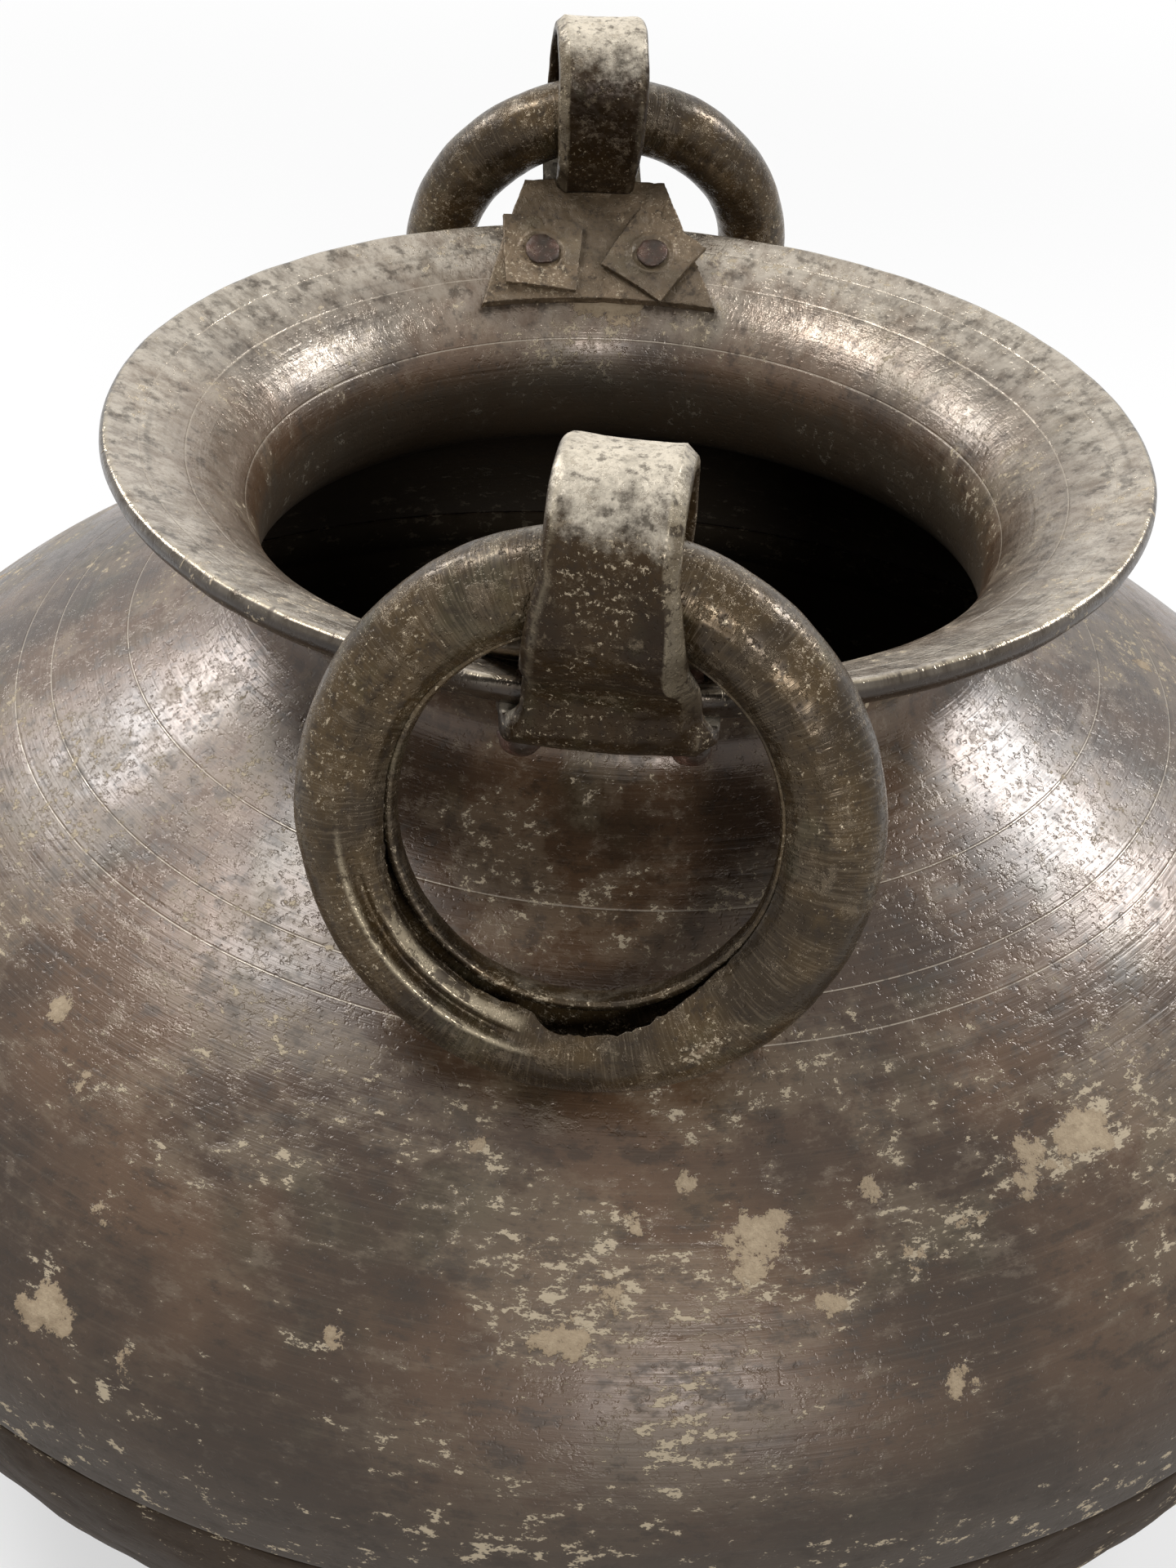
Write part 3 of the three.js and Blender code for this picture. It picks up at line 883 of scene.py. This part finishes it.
def strapSection(edge, flat, thick):
    # from the inner face round the right edge to the outer face between the arrises, and back
    # round the left edge, with how much each point is rubbed
    n = strap["across"]
    rest = edge - strap["bevel"]
    section = [(-edge + 0.7 + (2 * edge - 1.4) * k / n, 0) for k in range(n + 1)]
    section += [
        (edge, 0.6), (edge, 0.25 * thick), (edge - 0.1, 0.45 * thick), (edge - 0.5, 0.6 * thick),
        (flat + 0.5, 0.94 * thick), (flat, thick),
    ]
    last = len(section) - 1
    arrises = {last: 0.6, last + n + 2: 0.35, **{last - k: 0.5 for k in (1, 2, 3, 4)}}
    section += [(flat - 0.8 - (flat + rest - 1.6) * k / n, thick) for k in range(n + 1)]
    for a in (0.3, 0.6, 0.9, 1.2):
        section.append((-rest - strap["bevel"] * math.sin(a), thick * (0.5 + 0.5 * math.cos(a))))
    section += [(-edge, 0.4 * thick), (-edge, 0.2 * thick), (-edge, 0.6)]
    return section, [arrises.get(k, 0.0) for k in range(len(section))]


def strapPiece(side):
    spec = handles[side]
    twist = math.radians(spec["twist"])
    centre = Vector((0, -rim["ringCircle"], 0))
    line, archHeight = strapLine(spec)
    spots = evenPoints(line, strap["steps"])
    ways = np.gradient(spots, axis=0)
    ways /= np.linalg.norm(ways, axis=1)[:, None]
    top = int(np.argmax(spots[:, 1]))
    half = strap["thickness"] / 2
    points = []
    wearAndHighlight = []
    for i, ((out, high), way) in enumerate(zip(spots, ways)):
        outside = i < top
        spread = smoothStep(rim["top"] - 4 - high, 0, 16)
        down = limited((archHeight - high) / (archHeight - rim["top"]))
        bar = between(strap["width"], strap["tip"], down)
        if outside:
            waist = between(strap["width"], spec["waist"], down ** 0.7)
            bar = between(waist, strap["foot"], spread)
        thick = between(strap["thickness"], strap["footThickness"], spread)
        edge = bar / 2
        sooner = 0
        flat = edge - strap["bevel"]
        if outside:
            # the right side spreads sooner than the left, and its arris wanders
            most, over, reach = strap["sooner"]
            sooner = most * limited((rim["top"] + over - high) / reach) ** 2 * (1 - spread)
            flat -= sum(share * bump(high, *where) for share, *where in strap["wander"]) + sooner
        section, arrises = strapSection(edge, flat, thick)
        shown = smoothStep(high, rim["lipLow"] + 6, rim["top"] + 10) if outside else 0.8
        patchy = 0.7 + 0.8 * noise.noise(Vector((i / 7, 2, 0)))
        wearAndHighlight += [shown * patchy * share for share in arrises]
        for x, w in section:
            x += sooner * smoothStep(x, flat - 2, edge)
            if w == thick:
                w -= strap["hollow"] * (1 - (x / flat) ** 2) * (1 - spread)
            lift = w - half
            radius = out + way[1] * lift
            height = high - way[0] * lift
            skew = smoothStep(height, rim["lipLow"], rim["top"] + strap["ringTube"])
            if i < strap["raggedSteps"]:
                # the foot's lower edge is ragged
                broad = 1.3 * noise.noise(Vector((x / 9, 3, 0)))
                fine = 0.7 * noise.noise(Vector((x / 3, 7, 0)))
                ragged = (1 - i / strap["raggedSteps"]) * (0.9 + broad + fine)
                radius += way[0] * ragged
                height += way[1] * ragged
            spot = Vector(onCircle(radius, x / out, height))
            spot = spot.lerp(Vector((x, -radius, height)), skew)
            spot = centre + Matrix.Rotation(twist * skew, 3, "Z") @ (spot - centre)
            shrink = strap["waveDepth"] * (noise.noise(spot / strap["waveSize"]) - 0.7)
            shrink += strap["pitDepth"] * min(0, noise.noise(spot / strap["pitSize"]))
            away = Vector((x / edge * 0.6, -way[1] * lift / half, -way[0] * lift / half))
            spot += away.normalized() * shrink
            points.append(clearOfRim(spot, outside, i > top) * mm)
    count = len(section)
    faces = grid(len(spots), count, False)
    for first in (0, (len(spots) - 1) * count):
        # each end is closed by a fan over its section
        points.append(sum(points[first:first + count], Vector()) / count)
        faces += [(first + k, first + (k + 1) % count, len(points) - 1) for k in range(count)]
    piece = makeObject(f"{side}StrapBar", points, faces, strapMetal, turnAbout(side))
    mark(piece.data, "wearAndHighlight", wearAndHighlight + [0, 0])
    return markByPlace(piece, "deposit", strapDeposit)


def strapDeposit(spots):
    # a tan patch under the arch, and crust on the foot's left wing
    x, y, z = spots.T
    patch = bump(x, 3, 9) * bump(z, 434, 11) * (y < -rim["ringCircle"])
    wing = (1 - ramp(z, 372, 14)) * ramp(x, -20, -8)
    return 0.55 * patch + 0.7 * wing


def clearOfRim(spot, outside, inside):
    # keeps the bar off the lip, and the inner leg's end on the plate
    radius = math.hypot(spot.x, spot.y)
    room = rim["radius"] + rim["play"]
    if outside and rim["lipLow"] < spot.z < rim["top"] + rim["gap"] and radius < room:
        spot.x *= room / radius
        spot.y *= room / radius
    if inside:
        cos, sin = math.cos(stack["slope"]), math.sin(stack["slope"])
        lift = (spot.z - stack["height"]) * cos - (radius - stack["radius"]) * sin
        short = stack["plateTop"] + rim["gap"] - lift
        if short > 0:
            spot.z += short * cos
            spot.y += short * sin
    return spot


# Plates, roves and rivets

plate = {"voxel": 0.8, "soften": 2, "waveSize": 14, "waveDepth": 0.5, "pitSize": 3, "pitDepth": 0.4}
rove = {
    "voxel": 0.5, "soften": 1, "waveSize": 7, "waveDepth": 0.35, "pitSize": 2.5, "pitDepth": 0.5,
    "collar": 0.9, "collarRadius": 8.8, "collarReach": 1.1,
}
rivet = {
    "spacing": 46, "shank": 4, "sides": 40,
    "left": {"peen": 6.6, "peenRise": 1.1, "head": 7.4, "drop": 6.6},
    "right": {"peen": 7.4, "peenRise": 1.3, "head": 6.9, "drop": 5.8},
}


def rivetPlace(side, hand):
    x = rivet["spacing"] / 2 * (1 if hand == "right" else -1)
    return (
        turnAbout(side) @ Matrix.Rotation(x / stack["radius"], 4, "Z")
        @ Matrix.Translation((0, -stack["radius"] * mm, stack["height"] * mm))
        @ Matrix.Rotation(-stack["slope"], 4, "X")
    )


def forgedPiece(node, name, values, turn, collarPlace=None):
    # the solid's own shape, evenly meshed, with softened arrises, waves and pits
    made = addObject(name, frame["nodes"][node].data.copy())
    made.data.transform(turn.inverted())
    remesh = made.modifiers.new("evenMesh", "REMESH")
    remesh.mode = "VOXEL"
    remesh.voxel_size = values["voxel"] * mm
    smooth = made.modifiers.new("softArris", "SMOOTH")
    smooth.factor = 0.5
    smooth.iterations = values["soften"]
    graph = bpy.context.evaluated_depsgraph_get()
    mesh = bpy.data.meshes.new_from_object(made.evaluated_get(graph))
    made.modifiers.clear()
    made.data = mesh
    mesh.materials.clear()
    mesh.materials.append(plateMetal)
    normals = np.zeros(len(mesh.vertices) * 3)
    mesh.vertex_normals.foreach_get("vector", normals)
    toRivet = collarPlace.inverted() @ turn if collarPlace else None
    for v, normal in zip(mesh.vertices, normals.reshape(-1, 3)):
        wave = noise.noise(v.co / (values["waveSize"] * mm))
        pit = noise.noise(v.co / (values["pitSize"] * mm))
        depth = values["waveDepth"] * (wave - 0.6) + values["pitDepth"] * min(0, pit)
        if toRivet:
            local = toRivet @ v.co / mm
            if local.z > stack["roveTop"] - 1:
                # metal thrown up round the rivet's end
                away = math.hypot(local.x, local.y)
                thrown = bump(away, values["collarRadius"], values["collarReach"])
                depth += values["collar"] * thrown * (0.8 + wave)
        v.co += Vector(normal) * depth * mm
    mesh.shade_smooth()
    made.matrix_world = turn
    return made


def rivetPiece(side, hand):
    # from the mushroom head underneath, up the shank, to the peened end on the rove
    head, drop, peen = (rivet[hand][k] for k in ("head", "drop", "peen"))
    shank = rivet["shank"]
    under = stack["headUnder"]
    over = stack["roveTop"] + 0.3
    top = over + rivet[hand]["peenRise"]
    outline = [(0, under - drop)]
    for share in (0.98, 0.92, 0.82, 0.68, 0.5, 0.3, 0.12):
        outline.append((head * math.sqrt(1 - share ** 2), under - drop * share))
    outline += [
        (head, under - 0.2), (head - 0.5, under), (shank, under), (shank, over),
        (peen - 0.4, over), (peen, over + 0.4), (peen, top - 0.5), (peen - 0.6, top),
        (peen * 0.6, top), (peen * 0.3, top), (0, top),
    ]
    seed = 40 * (side == "back") + 17 * (hand == "left")

    def beaten(p):
        # the heads were hammered by hand, so they are lumpy and never quite round
        q = p / mm
        lump = noise.noise((q + Vector((seed, 0, 0))) / 6)
        lump += 0.5 * noise.noise((q + Vector((seed, 5, 0))) / 2.5)
        flat = Vector((q.x, q.y, 0))
        share = min(1, flat.length / shank - 0.9) if flat.length > shank else 0
        return -flat.normalized() * max(0, 0.55 + lump) * share * mm

    name = f"{side}{hand.title()}Rivet"
    piece = turnedPiece(name, outline, rivet["sides"], rivetMetal, beaten, closed=False)
    piece.matrix_world = rivetPlace(side, hand)
    return piece


# Ring: a tube rolled from sheet, open along a seam on its inner side

ring = {
    "radius": 67, "tube": 15, "sheet": 2.5, "seamTurn": 25,
    "sides": 280, "lipSteps": 34, "outerSteps": 50, "innerSteps": 30,
    "lipTurn": 178.9, "outerTurn": -106, "ridgeTurn": 117, "ridge": 0.35,
    # where the lip is dented, broken out and gapes: depth or turn, and the degrees round the
    # ring at which it starts, is full, wanes and ends
    "dents": ((3.1, 184, 198, 232, 262), (0.6, 262, 280, 300, 330)),
    "broken": ((27, 130, 166, 180, 192), (3, 186, 190, 232, 250)),
    "gape": (110, 140, 240, 290),
    # shares of the fold, and degrees past the ridge
    "folds": ((1, 0, 13), (-0.75, 15, 24), (0.6, 37, 52)),
    "waveSize": 16, "waveDepth": 0.35, "pitSize": 5, "pitDepth": 0.12,
}


def window(a, start, full, leave, end):
    return smoothStep(a, start, full) * (1 - smoothStep(a, leave, end))


def ringSection(a):
    # the sheet's front lip is bent in towards the seam, most at the lower left, and broken out
    # at the bottom
    degrees = math.degrees(a)
    dent = 0.5 + sum(depth * window(degrees, *where) for depth, *where in ring["dents"])
    gaping = window(degrees, *ring["gape"])
    ragged = noise.noise(Vector((degrees / 3, 0, 0))) + 0.6 * noise.noise(Vector((degrees, 5, 0)))
    backTurn = ring["lipTurn"] - 3 * gaping
    lipTurn = backTurn - sum(turn * window(degrees, *where) for turn, *where in ring["broken"])
    lipTurn += 4 * gaping * (ragged - 0.8)
    turns = [
        (begin + (end - begin) * k / steps, sheet) for begin, end, first, steps, sheet in (
            (-lipTurn, ring["outerTurn"], 0, ring["lipSteps"], 0),
            (ring["outerTurn"], backTurn, 1, ring["outerSteps"], 0),
            (backTurn, -lipTurn, 0, ring["innerSteps"], ring["sheet"]),
        ) for k in range(first, steps + 1)
    ]
    section = []
    for turned, sheet in turns:
        around = math.radians(ring["seamTurn"] + turned)
        # past the ridge the lip folds in, comes out and folds in again
        past = -turned - ring["ridgeTurn"]
        fold = sum(share * smoothStep(past, *where) for share, *where in ring["folds"])
        ridge = ring["ridge"] * bump(past, -1, 3.5) - ring["ridge"]
        flats = 0.008 * (1 + math.cos(6 * around + 0.6))
        across = ring["tube"] * (1 - flats) - fold * dent + ridge * min(1, dent) - sheet
        section.append((ring["radius"] + across * math.cos(around), across * math.sin(around)))
    return section


def roundRing(spots):
    # how far round the ring and round its tube a spot lies, in degrees
    x, y, z = spots.T
    radius = np.hypot(x, z) - ring["radius"]
    return np.degrees(np.arctan2(x, z)) % 360, np.degrees(np.arctan2(-y, -radius)) % 360


def ringDeposit(spots):
    # crust along the broken lip and one tan patch at the lower right
    degrees, turned = roundRing(spots)
    lip = bump(turned, 26, 16) * ramp(degrees, 120, 30) * ramp(degrees, 290, -30)
    patch = bump(degrees, 143, 9) * bump(turned, 100, 12)
    return lip * 1.1 + patch * 1.3


def ringHighlight(spots):
    # painted highlights on the bent lip's ridge and on the strip inside it
    degrees, turned = roundRing(spots)
    lipTurn = ring["seamTurn"] - ring["ridgeTurn"]
    ridge = bump(turned, 180 + lipTurn, 3) * ramp(degrees, 184, 10) * ramp(degrees, 265, -20)
    strip = bump(turned, 149 + lipTurn, 8) * ramp(degrees, 188, 4) * ramp(degrees, 240, -10)
    return ridge + strip * 0.8


def ringPiece(side):
    spec = handles[side]
    hinge = Matrix.Translation((0, -rim["ringCircle"] * mm, (rim["top"] + rim["ringUp"]) * mm))
    swing = (
        Matrix.Rotation(math.radians(spec["twist"]), 4, "Z")
        @ Matrix.Rotation(math.radians(-spec["lean"]), 4, "X")
        @ Matrix.Rotation(math.radians(spec["tilt"]), 4, "Y")
    )
    placed = turnAbout(side) @ hinge @ swing @ Matrix.Translation((0, 0, -ring["radius"] * mm))
    points = []
    for i in range(ring["sides"]):
        a = 2 * math.pi * i / ring["sides"]
        out = Vector((math.sin(a), 0, math.cos(a)))
        section = ringSection(a)
        for away, across in section:
            p = out * away + Vector((0, across, 0))
            dent = ring["waveDepth"] * (noise.noise(p / ring["waveSize"]) - 0.8)
            dent += ring["pitDepth"] * (noise.noise(p / ring["pitSize"]) - 0.5)
            points.append((p + (p - out * ring["radius"]).normalized() * dent) * mm)
    faces = grid(ring["sides"], len(section), True)
    piece = makeObject(f"{side}RingTube", points, faces, ringMetal, placed)
    # painted highlights along the ring's bent lip
    markByPlace(piece, "wearAndHighlight", ringHighlight)
    return markByPlace(piece, "deposit", ringDeposit)


forged = {
    "green": 0.1, "dustAndLitTopLow": 1.1, "dustAndLitTop": 0.3, "worn": 0.3, "specks": 0.15,
    "scratches": 0.0, "scratchDepth": 0.0, "flakes": ("tan", "crust"),
}
strapMetal = forgedFinish("strapMetal", {
    **forged, "main": "coffee", "dark": "peat", "metallic": 0.25, "roughness": 0.36, "shine": 0.15,
    "crust": 0.34, "specks": 0.13, "dustAndLitTopLow": 0.3, "dustAndLitTop": 1.0, "wornLow": 0.55, "pale": 0.4,
    "grainSize": 0.0045, "hammerSize": 0.005, "dents": 0.9,
})
plateMetal = forgedFinish("plateMetal", {
    **forged, "main": "plate", "dark": "plateShade", "metallic": 0.15, "roughness": 0.55,
    "shine": 0.4, "crust": 0.36, "specks": 0.18, "wornLow": 0.56, "pale": 0.35,
    "grainSize": 0.005, "hammerSize": 0.006, "dents": 0.6,
})
rivetMetal = forgedFinish("rivetMetal", {
    **forged, "main": "rust", "dark": "umber", "metallic": 0.3, "roughness": 0.45, "shine": 0.5,
    "crust": 0.3, "wornLow": 0.57, "worn": 0.2, "pale": 0.2, "flakes": ("plate", "tan"),
    "grainSize": 0.004, "hammerSize": 0.004, "dents": 0.5,
})
ringMetal = forgedFinish("ringMetal", {
    **forged, "main": "olive", "dark": "bronze", "metallic": 0.4, "roughness": 0.3, "shine": 0.3,
    "green": 0.15, "crust": 0.32, "specks": 0.14, "dustAndLitTopLow": 0.8, "dustAndLitTop": 0.5, "wornLow": 0.57,
    "worn": 0.08, "pale": 0.3, "scratches": 0.25, "scratchDepth": 0.03, "flakes": ("plate", "tan"),
    "grainSize": 0.006, "hammerSize": 0.008, "dents": 0.5,
})

for side in handles:
    turn = turnAbout(side)
    standIn(strapPiece(side), f"{side}_strap")
    node = f"{side}_inner_plate"
    standIn(forgedPiece(node, f"{side}Plate", plate, turn), node)
    for hand in ("left", "right"):
        node = f"{side}_{hand}_rove"
        name = f"{side}{hand.title()}Rove"
        standIn(forgedPiece(node, name, rove, turn, rivetPlace(side, hand)), node)
        standIn(rivetPiece(side, hand), f"{side}_{hand}_rivet")
    standIn(ringPiece(side), f"{side}_ring")
    print(side, "handle made")


# Camera, floor and light

view = {
    "position": (0.00684, -0.68778, 0.70756),
    "pitch": 34.98,
    "yaw": -1.06,
    "roll": 3.96,
    "lens": 49.9,
}


def makeCamera():
    pitch, yaw, roll = (math.radians(view[k]) for k in ("pitch", "yaw", "roll"))
    ahead = Vector((
        math.sin(yaw) * math.cos(pitch), math.cos(yaw) * math.cos(pitch), -math.sin(pitch),
    ))
    level = Vector((math.cos(yaw), -math.sin(yaw), 0))
    upright = level.cross(ahead)
    right = math.cos(roll) * level + math.sin(roll) * upright
    up = -math.sin(roll) * level + math.cos(roll) * upright
    data = bpy.data.cameras.new("camera")
    data.lens = view["lens"]
    data.sensor_width = 36
    camera = addObject("camera", data)
    turn = Matrix((right, up, -ahead)).transposed().to_4x4()
    camera.matrix_world = Matrix.Translation(view["position"]) @ turn
    bpy.context.scene.camera = camera


studio = {
    "floor": (0.85, 0.85, 0.85),
    "floorSize": 6,
    "glow": 0.55,
    "glowReach": (0.4, 2.2),
    "world": 0.18,
    "aim": (0, 0, 0.3),
    "lamps": {
        "rightSoftbox": ((1.5, 0.9, 1.55), 0.5, 28),
        "leftSoftbox": ((-1.5, 1.0, 1.45), 0.5, 17),
        "topSoftbox": ((-1.05, 0.15, 2.05), 0.6, 21),
        "frontSoftbox": ((0.5, -1.9, 1.3), 0.35, 15),
    },
}


def seenOrMirrored():
    # 1 for what the camera sees, straight or in metal and glass, and 0 for what lights the object
    path = addNode("LightPath").outputs
    return largest(path["Is Camera Ray"], path["Is Glossy Ray"], path["Is Transmission Ray"])


def makeFloor():
    material = bpy.data.materials.new("floorPaint")
    material.use_nodes = True
    startTree(material.node_tree).nodes.clear()
    paper = addNode("BsdfDiffuse", {"Color": studio["floor"]}).outputs[0]
    glow = addNode("Emission", {"Color": (1, 1, 1), "Strength": 1.0}).outputs[0]
    away = vectors("LENGTH", addNode("TexCoord").outputs["Object"])
    share = times(seenOrMirrored(), ease(away, *studio["glowReach"], studio["glow"], 1.0))
    mixed = addNode("MixShader", {0: share, 1: paper, 2: glow}).outputs[0]
    addNode("OutputMaterial", {"Surface": mixed})
    size = studio["floorSize"]
    corners = [(x * size, y * size, -0.0005) for x, y in ((-1, -1), (1, -1), (1, 1), (-1, 1))]
    makeObject("floor", corners, [(0, 1, 2, 3)], material)


def makeWorld():
    world = bpy.data.worlds.new("studio")
    world.use_nodes = True
    background = startTree(world.node_tree).nodes["Background"]
    light = times(seenOrMirrored(), 1 - studio["world"])
    fill(background, {"Strength": plus(light, studio["world"]), "Color": (1, 1, 1)})
    bpy.context.scene.world = world


def makeLamps():
    for name, (position, size, power) in studio["lamps"].items():
        data = bpy.data.lights.new(name, "AREA")
        data.shape = "SQUARE"
        data.size = size
        data.energy = power
        lamp = addObject(name, data)
        lamp.location = position
        way = Vector(studio["aim"]) - Vector(position)
        lamp.rotation_euler = way.to_track_quat("-Z", "Y").to_euler()


makeCamera()
makeFloor()
makeWorld()
makeLamps()
print("studio made")

bpy.context.scene.view_settings.view_transform = "Standard"
